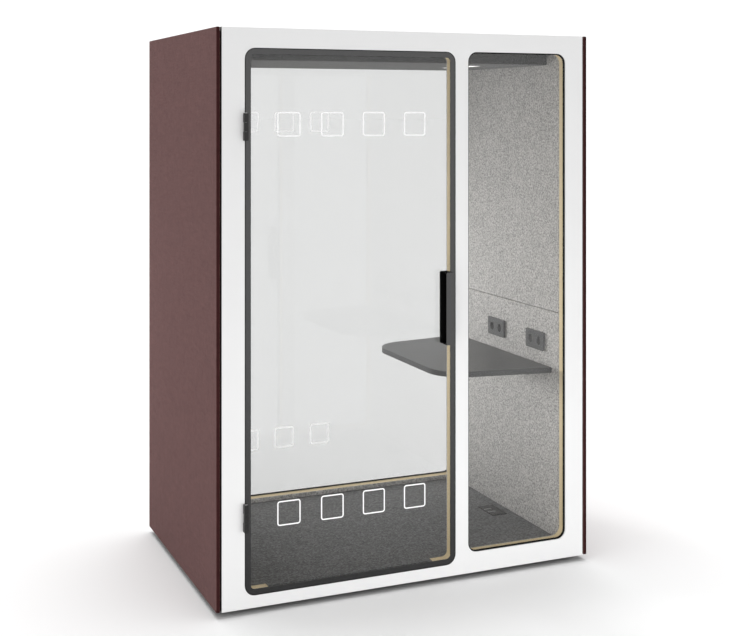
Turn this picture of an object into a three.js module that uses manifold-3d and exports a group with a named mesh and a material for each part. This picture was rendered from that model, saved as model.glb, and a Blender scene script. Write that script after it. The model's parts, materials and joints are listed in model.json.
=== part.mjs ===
// One-person acoustic office pod: fabric side walls, white front and rear frames, a hinged glass door, a
// fixed window, rear glazing and a felt-lined cabin with a worktop, sockets, a floor box, a ceiling raft
// with a light, and fans. Millimetres, +Z up. x runs to the right, y from the front face inwards and z
// from the ground. The exported group is centred on the footprint, pull handle included.
import * as THREE from "three";
import { mergeVertices } from "three/addons/utils/BufferGeometryUtils.js";
import Module from "manifold-3d";

const wasm = await Module();
wasm.setup();

// Shell
const WIDTH = 1650;
const DEPTH = 1105;
const SHELL_HEIGHT = 2230;
const GROUND_GAP = 25;
const FIT_GAP = 0.3;

// Side walls
const SIDE_WALL_T = 108;
const SIDE_PANEL_T = 18;
const SIDE_PANEL_EDGE_R = 4;
const SHADOW_GAP = 4.5;
const SIDE_FELT_T = 12;
const FELT_SEAM_HEIGHT = 974;
const FELT_SEAM_GAP = 2.4;

// Front and rear walls
const SKIN_T = 22;
const PLY_T = 28;
const FACE_FELT_T = 6;
const DOOR_MARGIN = 114;
const DOOR_OPENING_W = 903.6;
const DOOR_SILL = 47;
const DOOR_HEAD = 78;
const DOOR_OPENING_R = 42;
const DOOR_STOP_OVERLAP = 14.7;
const DOOR_STOP_STEP = 4.8;
const DOOR_STOP_R = 25;
const MULLION_W = 58.4;
const WINDOW_SILL = 83.3;
const WINDOW_HEAD = 77;
const WINDOW_R = 40;

// Fixed glazing
const GLASS_T = 6;
const GLAZING_LIP = 5;
const GLAZING_REBATE = 10;
const SEAL_SIGHT = 5;
const SEAL_LIP = 1;
const SEAL_WEB = 3;

// Base, floor and feet
const BASE_T = 36;
const PLINTH_INSET = 45;
const FLOOR_T = 20;
const CARPET_T = 7;
const CARPET_FLAP_T = 3;
const CARPET_FLAP_END_GAP = 85;
const FOOT_PAD_D = 76;
const FOOT_PAD_T = 10;
const FOOT_STEM_D = 20;
const FOOT_STEM_L = 38;
const FOOT_INSET = 120;

// Roof, ceiling raft, light and fans
const ROOF_T = 25;
const ROOF_RECESS = 15;
const RAFT_T = 50;
const RAFT_END_GAP = 94;
const RAFT_FAN_CLEARANCE = 6;
const LAMP_W = 55;
const LAMP_L = 290;
const LAMP_H = 28;
const LAMP_WALL = 2;
const LAMP_FROM_WALL = 247.5;
const LAMP_FROM_FRONT = 439;
const DIFFUSER_T = 4;
const FAN_SIZE = 120;
const FAN_T = 25;
const FAN_BORE = 112;
const FAN_CORNER_R = 8;
const FAN_OFFSET = 360;
const FAN_HUB_D = 40;
const FAN_BLADES = 7;
const FAN_BLADE_CHORD = 18;
const FAN_BLADE_T = 2;
const FAN_BLADE_PITCH = 30;
const FAN_TIP_CLEARANCE = 2;
const FAN_STRUT_T = 4;
const FAN_STRUT_W = 6;
const FAN_BOSS_T = 6;
const DRIVER_W = 170;
const DRIVER_L = 45;
const DRIVER_T = 24;
const DRIVER_FROM_REAR = 290;
const INLET_W = 60;
const INLET_L = 40;
const INLET_T = 14;
const INLET_WALL = 8;
const INLET_FLOOR = 4;
const INLET_FROM_REAR = 80;

// Worktop and its brackets
const TABLE_HEIGHT = 730;
const TABLE_T = 24;
const TABLE_REACH = 498;
const TABLE_END_GAP = 53;
const TABLE_SLANT = 8.5;
const TABLE_CORNER_R = 150;
const TABLE_EDGE_R = 3;
const BRACKET_T = 6;
const BRACKET_ARM = 380;
const BRACKET_FLANGE = 45;
const BRACKET_W = 40;
const BRACKET_INSET = 220;

// Socket plates on the right wall
const SOCKET_HEIGHT = 830;
const SOCKET_FROM_FRONT = 189;
const SOCKET_SPACING = 357;
const SOCKET_PLATE_L = 152;
const SOCKET_PLATE_H = 81;
const SOCKET_PLATE_T = 9;
const SOCKET_PLATE_R = 6;
const SOCKET_PITCH = 71;
const SOCKET_CUP_D = 43;
const SOCKET_WALL = 2.5;
const SOCKET_SINK = 10;

// Floor box under the worktop
const FLOOR_BOX_W = 76;
const FLOOR_BOX_L = 140;
const FLOOR_BOX_H = 40;
const FLOOR_BOX_WALL = 2.5;
const FLOOR_BOX_RIM = 1.5;
const FLOOR_BOX_FROM_WALL = 74;
const FLOOR_BOX_FROM_FRONT = 458;
const LID_T = 4;
const LID_CLEARANCE = 0.5;
const LID_PINTLE_D = 2.4;
const LID_PINTLE_L = 1.8;
const LID_NOSE_FLAT = 0.06;
const LID_LEDGE = 3;
const PULL_L = 36;
const PULL_W = 10;
const PULL_T = 3;
const PULL_SINK = 1.5;
const PULL_SPACING = 40;
const PULL_EDGE = 3;

// Door
const DOOR_GAP = 3;
const DOOR_T = 12;
const DOOR_LIP_T = 2;
const DOOR_SEAL_T = 1.7;
const DOOR_SEAL_W = 8;
const DOOR_SEAL_INSET = 2;
const DOOR_BORDER = 22;
const DOOR_INNER_R = 15;
const DOOR_GLASS_T = 6;
const DOOR_GLASS_BITE = 12;
const HANDLE_W = 38;
const HANDLE_H = 295;
const HANDLE_PROUD = 50;
const HANDLE_WALL = 4;
const HANDLE_CAP = 6;
const HANDLE_R = 6;
const HANDLE_SIDE_GAP = 3.6;
const HANDLE_HEIGHT = 1105.5;
const HANDLE_STUD_D = 11;
const HANDLE_STUD_SPACING = 220;
const PUSH_PLATE_T = 5;
const CATCH_W = 8;
const CATCH_H = 60;
const CATCH_T = 12;

// Hinges
const HINGE_H = 105;
const HINGE_FROM_BOTTOM = 350;
const HINGE_FROM_TOP = 382.5;
const HINGE_AXIS_PROUD = 13;
const HINGE_KNUCKLE_W = 16;
const HINGE_KNUCKLE_R = 1.5;
const HINGE_KNUCKLE_GAP = 0.6;
const HINGE_PIN_D = 8;
const HINGE_PIN_HEAD_D = 12;
const HINGE_PIN_HEAD_T = 2;
const HINGE_LEAF_T = 2.5;
const HINGE_LEAF_SET = 0.2;
const HINGE_LEAF_STOP = 1;

// Facets of a rounded corner and of a full circle, and how far a cutting tool runs past a face
const CORNER_STEPS = 6;
const ROUND_STEPS = 24;
const OVERRUN = 1;

// Finishes
const finish = (color, roughness, metalness = 0) =>
  new THREE.MeshStandardMaterial({ color, roughness, metalness });
const burgundyFabric = finish(0x5f3137, 0.95);
const whitePaint = finish(0xf2f2f1, 0.4);
const plywood = finish(0xcdb69b, 0.6);
const greyFelt = finish(0x9d9b98, 1);
const carpetPile = finish(0x4a4a4b, 1);
const board = finish(0x2b2b2d, 0.8);
const blackRubber = finish(0x141312, 0.7);
const darkMetal = finish(0x48494b, 0.45, 0.6);
const blackMetal = finish(0x1f1f20, 0.5, 0.5);
const steel = finish(0xa9abad, 0.35, 1);
const darkLaminate = finish(0x3d3d3f, 0.6);
const blackPlastic = finish(0x242425, 0.5);
const greyPlastic = finish(0x5f5f60, 0.5);
const paleGrey = finish(0xb4b4b3, 0.5);
const raftFelt = finish(0x555557, 1);
const diffuserPlastic = finish(0xfafaf5, 0.4);
const clearGlass = new THREE.MeshStandardMaterial({
  color: 0xeaf2ef,
  roughness: 0.05,
  transparent: true,
  opacity: 0.2,
});

// Faces and levels that several pieces share
const halfWidth = WIDTH / 2;
const cabinHalfWidth = halfWidth - SIDE_WALL_T;
const coreInner = cabinHalfWidth + SIDE_FELT_T;
const boardHalfWidth = halfWidth - SIDE_PANEL_T - FIT_GAP;
const skinHalfWidth = halfWidth - SIDE_PANEL_T - SHADOW_GAP;
const plyBack = SKIN_T + PLY_T;
const cabinFront = plyBack + FACE_FELT_T;
const cabinRear = DEPTH - cabinFront;
const shellBottom = GROUND_GAP;
const shellTop = shellBottom + SHELL_HEIGHT;
const roofTop = shellTop - ROOF_RECESS;
const roofBottom = roofTop - ROOF_T;
const underRoof = roofBottom - FIT_GAP;
const raftTop = roofBottom - FAN_T - RAFT_FAN_CLEARANCE;
const raftBottom = raftTop - RAFT_T;
const baseTop = shellBottom + BASE_T;
const floorTop = baseTop + FLOOR_T;
const carpetTop = floorTop + CARPET_T;
const onCarpet = carpetTop + FIT_GAP;
const tableTop = carpetTop + TABLE_HEIGHT;
const tableBottom = tableTop - TABLE_T;
const wallFace = cabinHalfWidth - FIT_GAP;

// Front and rear openings, as spans in x and z
const openingZ = [shellBottom + WINDOW_SILL, shellTop - WINDOW_HEAD];
const doorLeft = -halfWidth + DOOR_MARGIN;
const doorRight = doorLeft + DOOR_OPENING_W;
const doorOpening = {
  x: [doorLeft, doorRight],
  z: [shellBottom + DOOR_SILL, shellTop - DOOR_HEAD],
  radius: DOOR_OPENING_R,
};
const stopOpening = {
  x: doorOpening.x,
  z: [doorOpening.z[0] + DOOR_STOP_STEP, doorOpening.z[1]],
};
const windowOpening = { x: [doorRight + MULLION_W, cabinHalfWidth], z: openingZ, radius: WINDOW_R };
const rearOpening = { x: [-cabinHalfWidth, cabinHalfWidth], z: openingZ, radius: WINDOW_R };

// Depths from the outer face: glazing behind the skin's lip, and the closed door against its stop
const sealFront = GLAZING_LIP + FIT_GAP;
const grooveFront = sealFront + SEAL_LIP;
const grooveBack = grooveFront + GLASS_T + 2 * FIT_GAP;
const sealBack = grooveBack + SEAL_LIP;
const clampFace = sealBack + FIT_GAP;
const stopFace = DOOR_T + DOOR_SEAL_T + FIT_GAP;

// Points of a polygon whose corners are rounded by arcs of the given radius
function roundedPolygon(corners, radii) {
  const points = [];
  corners.forEach((corner, i) => {
    const radius = Array.isArray(radii) ? radii[i] : radii;
    if (radius <= 0) {
      points.push(corner);
      return;
    }
    const before = corners.at(i - 1).clone().sub(corner).normalize();
    const after = corners[(i + 1) % corners.length].clone().sub(corner).normalize();
    const halfAngle = before.angleTo(after) / 2;
    const bisector = before.clone().add(after).normalize();
    const centre = bisector.multiplyScalar(radius / Math.sin(halfAngle)).add(corner);
    const start = before.multiplyScalar(radius / Math.tan(halfAngle)).add(corner).sub(centre);
    const end = after.multiplyScalar(radius / Math.tan(halfAngle)).add(corner).sub(centre);
    const turn = Math.atan2(start.cross(end), start.dot(end));
    for (let step = 0; step <= CORNER_STEPS; step++) {
      const spoke = start.clone().rotateAround(new THREE.Vector2(), (turn * step) / CORNER_STEPS);
      points.push(spoke.add(centre));
    }
  });
  return points;
}

// A rounded rectangle over two spans, grown outwards on every side
function rectangle([u0, u1], [v0, v1], radius = 0, grow = 0) {
  const corners = [
    new THREE.Vector2(u0 - grow, v0 - grow),
    new THREE.Vector2(u1 + grow, v0 - grow),
    new THREE.Vector2(u1 + grow, v1 + grow),
    new THREE.Vector2(u0 - grow, v1 + grow),
  ];
  return roundedPolygon(corners, radius);
}

// An opening's outline set in from its edge, or grown by a negative distance
function inset(opening, distance, radius = opening.radius - distance) {
  return rectangle(opening.x, opening.z, radius, -distance);
}

function extrude(outline, holes, depth) {
  const shape = new THREE.Shape(outline);
  shape.holes = holes.map((hole) => new THREE.Path(hole));
  return new THREE.ExtrudeGeometry(shape, { depth, bevelEnabled: false });
}

// A plate drawn in x and y, with its thickness along z
function plateZ(outline, holes, [low, high]) {
  return extrude(outline, holes, high - low).translate(0, 0, low);
}

// A plate drawn in x and z, with its thickness along y
function plateY(outline, holes, [low, high]) {
  return extrude(outline, holes, high - low)
    .rotateX(Math.PI / 2)
    .translate(0, high, 0);
}

// A plate drawn in y and z, with its thickness along x
function plateX(outline, holes, [low, high]) {
  const alongX = new THREE.Matrix4().makeBasis(
    new THREE.Vector3(0, 1, 0),
    new THREE.Vector3(0, 0, 1),
    new THREE.Vector3(1, 0, 0),
  );
  return extrude(outline, holes, high - low)
    .applyMatrix4(alongX)
    .translate(low, 0, 0);
}

function block([x0, x1], [y0, y1], [z0, z1]) {
  const box = new THREE.BoxGeometry(x1 - x0, y1 - y0, z1 - z0);
  return box.translate((x0 + x1) / 2, (y0 + y1) / 2, (z0 + z1) / 2);
}

function circle(radius, u = 0, v = 0) {
  const points = [];
  for (let step = 0; step < ROUND_STEPS; step++) {
    const angle = (2 * Math.PI * step) / ROUND_STEPS;
    points.push(new THREE.Vector2(u + radius * Math.cos(angle), v + radius * Math.sin(angle)));
  }
  return points;
}

// A span of the given length about its middle
const about = (middle, length) => [middle - length / 2, middle + length / 2];

// A span along y, measured inwards from the front face or from the rear face
const fromFront = (span) => span;
const fromRear = ([low, high]) => [DEPTH - high, DEPTH - low];

// Joining and cutting closed shapes
function toSolid(geometry) {
  const bare = geometry.index ? geometry.toNonIndexed() : geometry.clone();
  bare.deleteAttribute("normal");
  bare.deleteAttribute("uv");
  const welded = mergeVertices(bare);
  const vertProperties = welded.getAttribute("position").array;
  const triVerts = new Uint32Array(welded.index.array);
  return new wasm.Manifold(new wasm.Mesh({ numProp: 3, vertProperties, triVerts }));
}

function toGeometry(solid) {
  const { vertProperties, triVerts } = solid.getMesh();
  const geometry = new THREE.BufferGeometry();
  geometry.setAttribute("position", new THREE.BufferAttribute(new Float32Array(vertProperties), 3));
  geometry.setIndex(new THREE.BufferAttribute(new Uint32Array(triVerts), 1));
  geometry.computeVertexNormals();
  return geometry;
}

function join(first, ...others) {
  return toGeometry(others.reduce((whole, other) => whole.add(toSolid(other)), toSolid(first)));
}

function cut(body, ...tools) {
  return toGeometry(tools.reduce((whole, tool) => whole.subtract(toSolid(tool)), toSolid(body)));
}

function piece(parent, name, geometry, material) {
  const mesh = new THREE.Mesh(geometry, material);
  mesh.name = name;
  parent.add(mesh);
  return mesh;
}

function groupAt(parent, x, y, z) {
  const group = new THREE.Group();
  group.position.set(x, y, z);
  parent.add(group);
  return group;
}

const pod = new THREE.Group();
pod.position.y = -(DEPTH - HANDLE_PROUD) / 2;

// Places that other pieces are cut for
const footPlaces = [];
for (const [end, y] of [["front", FOOT_INSET], ["rear", DEPTH - FOOT_INSET]]) {
  for (const [side, x] of [["left", -1], ["right", 1]]) {
    footPlaces.push({ name: `foot_${end}_${side}`, x: x * (halfWidth - FOOT_INSET), y });
  }
}
const floorBoxX = cabinHalfWidth - FLOOR_BOX_FROM_WALL;
const floorBoxY = cabinFront + FLOOR_BOX_FROM_FRONT;
const floorBoxTop = carpetTop + FLOOR_BOX_RIM;
const floorBoxPocket = block(
  about(floorBoxX, FLOOR_BOX_W + 2 * FIT_GAP),
  about(floorBoxY, FLOOR_BOX_L + 2 * FIT_GAP),
  [floorBoxTop - FLOOR_BOX_H - FIT_GAP, floorBoxTop],
);
const socketPlates = ["front", "rear"].map((end, i) => ({
  end,
  y: cabinFront + SOCKET_FROM_FRONT + i * SOCKET_SPACING,
  z: carpetTop + SOCKET_HEIGHT,
}));
const outletEnds = [["front", -SOCKET_PITCH / 2], ["rear", SOCKET_PITCH / 2]];
const hingeX = doorLeft + DOOR_GAP / 2;
const hingeLevels = [
  ["top", shellTop - HINGE_FROM_TOP],
  ["bottom", shellBottom + HINGE_FROM_BOTTOM],
];
const leafEnd = DOOR_T - HINGE_LEAF_STOP;
const mortiseDepth = HINGE_LEAF_SET + HINGE_LEAF_T + FIT_GAP;
const hingeMortises = (span) =>
  hingeLevels.map(([, z]) => block(span, [-OVERRUN, leafEnd + FIT_GAP], about(z, HINGE_H + 2 * FIT_GAP)));
const handleZ = shellBottom + HANDLE_HEIGHT;
const catchX = doorRight - DOOR_GAP - (DOOR_BORDER - DOOR_GLASS_BITE) / 2;
const fanPlaces = [["left", -FAN_OFFSET], ["right", FAN_OFFSET]];
const fanY = DEPTH / 2;
const lampX = cabinHalfWidth - LAMP_FROM_WALL;
const lampY = cabinFront + LAMP_FROM_FRONT;

// Base with a recessed plinth, floor, carpet with a flap over the door sill, and levelling feet
function addBase() {
  const bodyY = [SKIN_T + FIT_GAP, DEPTH - SKIN_T - FIT_GAP];
  const body = block([-boardHalfWidth, boardHalfWidth], bodyY, [shellBottom, baseTop]);
  const plinth = block(
    [-halfWidth + PLINTH_INSET, halfWidth - PLINTH_INSET],
    [PLINTH_INSET, DEPTH - PLINTH_INSET],
    [FOOT_PAD_T + FIT_GAP, shellBottom + OVERRUN],
  );
  const stemBores = footPlaces.map(({ x, y }) =>
    plateZ(circle(FOOT_STEM_D / 2 + FIT_GAP, x, y), [], [0, FOOT_PAD_T + FOOT_STEM_L + FIT_GAP]),
  );
  piece(pod, "base_panel", cut(join(body, plinth), floorBoxPocket, ...stemBores), board);

  const floorX = [-coreInner + FIT_GAP, coreInner - FIT_GAP];
  const floorY = [plyBack + FIT_GAP, DEPTH - plyBack - FIT_GAP];
  const floor = block(floorX, floorY, [baseTop + FIT_GAP, floorTop]);
  piece(pod, "floor_panel", cut(floor, floorBoxPocket), plywood);
  const sheet = block(floorX, floorY, [floorTop + FIT_GAP, carpetTop]);
  const flapInset = DOOR_STOP_OVERLAP + CARPET_FLAP_END_GAP;
  const flapX = [doorLeft + flapInset, doorRight - flapInset];
  const flapBack = floorY[0] + CARPET_FLAP_T;
  const sill = stopOpening.z[0] + DOOR_STOP_OVERLAP + FIT_GAP;
  const flapTop = sill + CARPET_FLAP_T;
  const riser = block(flapX, [floorY[0], flapBack], [floorTop + FIT_GAP, flapTop]);
  const flap = block(flapX, [stopFace + FIT_GAP, flapBack], [sill, flapTop]);
  piece(pod, "carpet", cut(join(sheet, riser, flap), floorBoxPocket), carpetPile);

  for (const { name, x, y } of footPlaces) {
    const profile = [
      [0, 0],
      [FOOT_PAD_D / 2, 0],
      [FOOT_PAD_D / 2, FOOT_PAD_T],
      [FOOT_STEM_D / 2, FOOT_PAD_T],
      [FOOT_STEM_D / 2, FOOT_PAD_T + FOOT_STEM_L],
      [0, FOOT_PAD_T + FOOT_STEM_L],
    ].map(([r, z]) => new THREE.Vector2(r, z));
    const foot = new THREE.LatheGeometry(profile, ROUND_STEPS).rotateX(Math.PI / 2);
    piece(pod, name, foot, steel).position.set(x, y, 0);
  }
}

// One side wall: fabric outer panel, core, and felt in two boards
function addSideWall(side, sign) {
  const span = (low, high) => (sign > 0 ? [low, high] : [-high, -low]);
  const panel = rectangle(span(halfWidth - SIDE_PANEL_T, halfWidth), [0, DEPTH], SIDE_PANEL_EDGE_R);
  piece(pod, `${side}_outer_panel`, plateZ(panel, [], [shellBottom, shellTop]), burgundyFabric);
  const coreY = [plyBack + FIT_GAP, DEPTH - plyBack - FIT_GAP];
  const core = block(span(coreInner, boardHalfWidth), coreY, [baseTop + FIT_GAP, underRoof]);
  piece(pod, `${side}_wall_core`, core, board);

  const seam = carpetTop + FELT_SEAM_HEIGHT;
  const feltX = span(cabinHalfWidth, coreInner - FIT_GAP);
  const feltY = [cabinFront + FIT_GAP, cabinRear - FIT_GAP];
  const boards = [
    ["lower", [onCarpet, seam - FELT_SEAM_GAP / 2]],
    ["upper", [seam + FELT_SEAM_GAP / 2, underRoof]],
  ];
  const cupHoles = [];
  if (sign > 0) {
    for (const { y, z } of socketPlates) {
      for (const [, offset] of outletEnds) {
        const hole = circle(SOCKET_CUP_D / 2 + FIT_GAP, y + offset, z);
        cupHoles.push(plateX(hole, [], [wallFace, coreInner]));
      }
    }
  }
  for (const [level, feltZ] of boards) {
    piece(pod, `${side}_felt_${level}`, cut(block(feltX, feltY, feltZ), ...cupHoles), greyFelt);
  }
}

// Room cut behind the white skin's lip for a seal and its pane
function glazingRebate(opening, from) {
  return plateY(inset(opening, -GLAZING_REBATE), [], from([GLAZING_LIP, SKIN_T + OVERRUN]));
}

// Step of the plywood frame that reaches into the rebate and holds the seal
function glazingClamp(opening, from) {
  const outline = inset(opening, FIT_GAP - GLAZING_REBATE);
  return plateY(outline, [inset(opening, 0)], from([clampFace, SKIN_T + FIT_GAP + OVERRUN]));
}

// Rubber channel round an opening, and the pane that sits in it
function addGlazing(name, opening, from) {
  const sealEdge = FIT_GAP - GLAZING_REBATE;
  const ring = plateY(inset(opening, sealEdge), [inset(opening, SEAL_SIGHT)], from([sealFront, sealBack]));
  const paneEdge = sealEdge + SEAL_WEB;
  const groove = plateY(inset(opening, paneEdge - FIT_GAP), [], from([grooveFront, grooveBack]));
  piece(pod, `${name}_seal`, cut(ring, groove), blackRubber);
  const pane = plateY(inset(opening, paneEdge), [], from([grooveFront + FIT_GAP, grooveBack - FIT_GAP]));
  piece(pod, `${name}_glass`, pane, clearGlass);
}

// Front wall: white frame, plywood frame that the door closes on, and a felt lining
function addFront() {
  const skin = rectangle([-skinHalfWidth, skinHalfWidth], [shellBottom, shellTop]);
  const frame = plateY(skin, [inset(doorOpening, 0), inset(windowOpening, 0)], [0, SKIN_T]);
  const rebate = glazingRebate(windowOpening, fromFront);
  const jamb = [doorLeft - mortiseDepth, doorLeft + OVERRUN];
  piece(pod, "front_frame", cut(frame, rebate, ...hingeMortises(jamb)), whitePaint);

  const ply = rectangle([-skinHalfWidth, skinHalfWidth], [baseTop + FIT_GAP, underRoof]);
  const stopEdge = inset(stopOpening, DOOR_STOP_OVERLAP, DOOR_STOP_R);
  const plate = plateY(ply, [stopEdge, inset(windowOpening, 0)], [SKIN_T + FIT_GAP, plyBack]);
  const doorStop = plateY(inset(doorOpening, FIT_GAP), [stopEdge], [stopFace, SKIN_T + FIT_GAP + OVERRUN]);
  const plyFrame = join(plate, glazingClamp(windowOpening, fromFront), doorStop);
  const catchFace = stopFace + FIT_GAP;
  const catchMortise = block(
    about(catchX, CATCH_W + 2 * FIT_GAP),
    [stopFace - OVERRUN, catchFace + CATCH_T + FIT_GAP],
    about(handleZ, CATCH_H + 2 * FIT_GAP),
  );
  piece(pod, "front_inner_frame", cut(plyFrame, catchMortise), plywood);
  const magnet = block(about(catchX, CATCH_W), [catchFace, catchFace + CATCH_T], about(handleZ, CATCH_H));
  piece(pod, "door_magnet", magnet, steel);

  const feltSpan = [plyBack + FIT_GAP, cabinFront];
  const lining = rectangle([-coreInner + FIT_GAP, coreInner - FIT_GAP], [onCarpet, underRoof]);
  const sheet = plateY(lining, [inset(windowOpening, 0)], feltSpan);
  const doorway = { x: doorOpening.x, z: [0, doorOpening.z[1]] };
  const doorwayCut = plateY(inset(doorway, DOOR_STOP_OVERLAP, DOOR_STOP_R), [], [SKIN_T, DEPTH / 2]);
  piece(pod, "front_felt", cut(sheet, doorwayCut), greyFelt);
  addGlazing("window", windowOpening, fromFront);
}

// Rear wall: the same layers round one wide pane
function addRear() {
  const skin = rectangle([-skinHalfWidth, skinHalfWidth], [shellBottom, shellTop]);
  const hole = inset(rearOpening, 0);
  const frame = plateY(skin, [hole], fromRear([0, SKIN_T]));
  piece(pod, "rear_frame", cut(frame, glazingRebate(rearOpening, fromRear)), whitePaint);
  const ply = rectangle([-skinHalfWidth, skinHalfWidth], [baseTop + FIT_GAP, underRoof]);
  const plate = plateY(ply, [hole], fromRear([SKIN_T + FIT_GAP, plyBack]));
  piece(pod, "rear_inner_frame", join(plate, glazingClamp(rearOpening, fromRear)), plywood);
  const lining = rectangle([-coreInner + FIT_GAP, coreInner - FIT_GAP], [onCarpet, underRoof]);
  piece(pod, "rear_felt", plateY(lining, [hole], fromRear([plyBack + FIT_GAP, cabinFront])), greyFelt);
  addGlazing("rear", rearOpening, fromRear);
}

// Roof panel with a hole over each fan, and the mains inlet on it
function addRoof() {
  const roofY = [SKIN_T + FIT_GAP, DEPTH - SKIN_T - FIT_GAP];
  const outline = rectangle([-boardHalfWidth, boardHalfWidth], roofY);
  const vents = fanPlaces.map(([, x]) => circle(FAN_BORE / 2, x, fanY));
  piece(pod, "roof_panel", plateZ(outline, vents, [roofBottom, roofTop]), board);
  const inletY = cabinRear - INLET_FROM_REAR;
  const inletZ = [roofTop + FIT_GAP, roofTop + INLET_T];
  const socket = block(
    about(0, INLET_W - 2 * INLET_WALL),
    about(inletY, INLET_L - 2 * INLET_WALL),
    [inletZ[0] + INLET_FLOOR, inletZ[1] + OVERRUN],
  );
  const inlet = block(about(0, INLET_W), about(inletY, INLET_L), inletZ);
  piece(pod, "mains_inlet", cut(inlet, socket), blackPlastic);
}

// Ceiling raft with a light let into its underside, and the light's driver above it
function addCeiling() {
  const raft = block(
    [-wallFace, wallFace],
    [cabinFront + RAFT_END_GAP, cabinRear - RAFT_END_GAP],
    [raftBottom, raftTop],
  );
  const pocket = block(
    about(lampX, LAMP_W + 2 * FIT_GAP),
    about(lampY, LAMP_L + 2 * FIT_GAP),
    [raftBottom - OVERRUN, raftBottom + LAMP_H + FIT_GAP],
  );
  piece(pod, "ceiling_raft", cut(raft, pocket), raftFelt);
  const inside = 2 * LAMP_WALL;
  const housing = cut(
    block(about(lampX, LAMP_W), about(lampY, LAMP_L), [raftBottom, raftBottom + LAMP_H]),
    block(
      about(lampX, LAMP_W - inside),
      about(lampY, LAMP_L - inside),
      [raftBottom - OVERRUN, raftBottom + LAMP_H - LAMP_WALL],
    ),
  );
  piece(pod, "lamp_housing", housing, whitePaint);
  const diffuser = block(
    about(lampX, LAMP_W - inside - 2 * FIT_GAP),
    about(lampY, LAMP_L - inside - 2 * FIT_GAP),
    [raftBottom, raftBottom + DIFFUSER_T],
  );
  piece(pod, "lamp_diffuser", diffuser, diffuserPlastic);
  const driverY = about(cabinRear - DRIVER_FROM_REAR, DRIVER_L);
  const driver = block(about(0, DRIVER_W), driverY, [underRoof - DRIVER_T, underRoof]);
  piece(pod, "lamp_driver", driver, paleGrey);
}

// A square axial fan hung under the roof: housing with a spider, and a bladed rotor
function addFan(side, x) {
  const fan = groupAt(pod, x, fanY, underRoof);
  const half = FAN_SIZE / 2;
  const casing = rectangle([-half, half], [-half, half], FAN_CORNER_R);
  const bossBottom = -FAN_BOSS_T;
  const boss = plateZ(circle(FAN_HUB_D / 2), [], [bossBottom, 0]);
  const reach = FAN_BORE / 2 + OVERRUN;
  const strutWidth = about(0, FAN_STRUT_W);
  const spider = [
    block([-reach, reach], strutWidth, [-FAN_STRUT_T, 0]),
    block(strutWidth, [-reach, reach], [-FAN_STRUT_T, 0]),
  ];
  const shroud = plateZ(casing, [circle(FAN_BORE / 2)], [-FAN_T, 0]);
  piece(fan, `fan_${side}_housing`, join(shroud, boss, ...spider), blackPlastic);

  const hubSpan = [-FAN_T + FAN_TIP_CLEARANCE, bossBottom - FIT_GAP];
  const hub = plateZ(circle(FAN_HUB_D / 2), [], hubSpan);
  const root = FAN_HUB_D / 2 - FAN_TIP_CLEARANCE;
  const tip = FAN_BORE / 2 - FAN_TIP_CLEARANCE;
  const blades = [];
  for (let i = 0; i < FAN_BLADES; i++) {
    const blade = block([root, tip], about(0, FAN_BLADE_CHORD), about(0, FAN_BLADE_T));
    blade.rotateX(THREE.MathUtils.degToRad(FAN_BLADE_PITCH));
    blade.rotateZ((2 * Math.PI * i) / FAN_BLADES);
    blades.push(blade.translate(0, 0, (hubSpan[0] + hubSpan[1]) / 2));
  }
  piece(fan, `fan_${side}_rotor`, join(hub, ...blades), blackPlastic);
}

// Worktop that narrows towards its rounded free edge, on two angle brackets
function addTable() {
  const ends = [cabinFront + TABLE_END_GAP, cabinRear - TABLE_END_GAP];
  const slant = TABLE_REACH * Math.tan(THREE.MathUtils.degToRad(TABLE_SLANT));
  const freeEdge = wallFace - TABLE_REACH;
  const corners = [
    new THREE.Vector2(wallFace, ends[0]),
    new THREE.Vector2(wallFace, ends[1]),
    new THREE.Vector2(freeEdge, ends[1] - slant),
    new THREE.Vector2(freeEdge, ends[0] + slant),
  ];
  const outline = roundedPolygon(corners, [TABLE_EDGE_R, TABLE_EDGE_R, TABLE_CORNER_R, TABLE_CORNER_R]);
  piece(pod, "table_top", plateZ(outline, [], [tableBottom, tableTop]), darkLaminate);

  const seat = tableBottom - FIT_GAP;
  const angle = [
    new THREE.Vector2(wallFace - BRACKET_ARM, seat - BRACKET_T),
    new THREE.Vector2(wallFace - BRACKET_T, seat - BRACKET_T),
    new THREE.Vector2(wallFace - BRACKET_T, seat - BRACKET_FLANGE),
    new THREE.Vector2(wallFace, seat - BRACKET_FLANGE),
    new THREE.Vector2(wallFace, seat),
    new THREE.Vector2(wallFace - BRACKET_ARM, seat),
  ];
  const places = [["front", ends[0] + BRACKET_INSET], ["rear", ends[1] - BRACKET_INSET]];
  for (const [end, y] of places) {
    piece(pod, `table_bracket_${end}`, plateY(angle, [], about(y, BRACKET_W)), blackMetal);
  }
}

// A double socket plate on the right wall, with a round cup in each half
function addSockets({ end, y, z }) {
  const plate = groupAt(pod, wallFace, y, z);
  const outline = rectangle(about(0, SOCKET_PLATE_L), about(0, SOCKET_PLATE_H), SOCKET_PLATE_R);
  const holes = outletEnds.map(([, offset]) => circle(SOCKET_CUP_D / 2 + FIT_GAP, offset, 0));
  piece(plate, `socket_frame_${end}`, plateX(outline, holes, [-SOCKET_PLATE_T, 0]), greyPlastic);
  const mouth = -SOCKET_PLATE_T;
  for (const [name, offset] of outletEnds) {
    const cup = plateX(circle(SOCKET_CUP_D / 2), [], [mouth, SOCKET_SINK]);
    const recessSpan = [mouth - OVERRUN, SOCKET_SINK - SOCKET_WALL];
    const recess = plateX(circle(SOCKET_CUP_D / 2 - SOCKET_WALL), [], recessSpan);
    const insert = piece(plate, `socket_insert_${end}_${name}`, cut(cup, recess), greyPlastic);
    insert.position.y = offset;
  }
}

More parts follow.
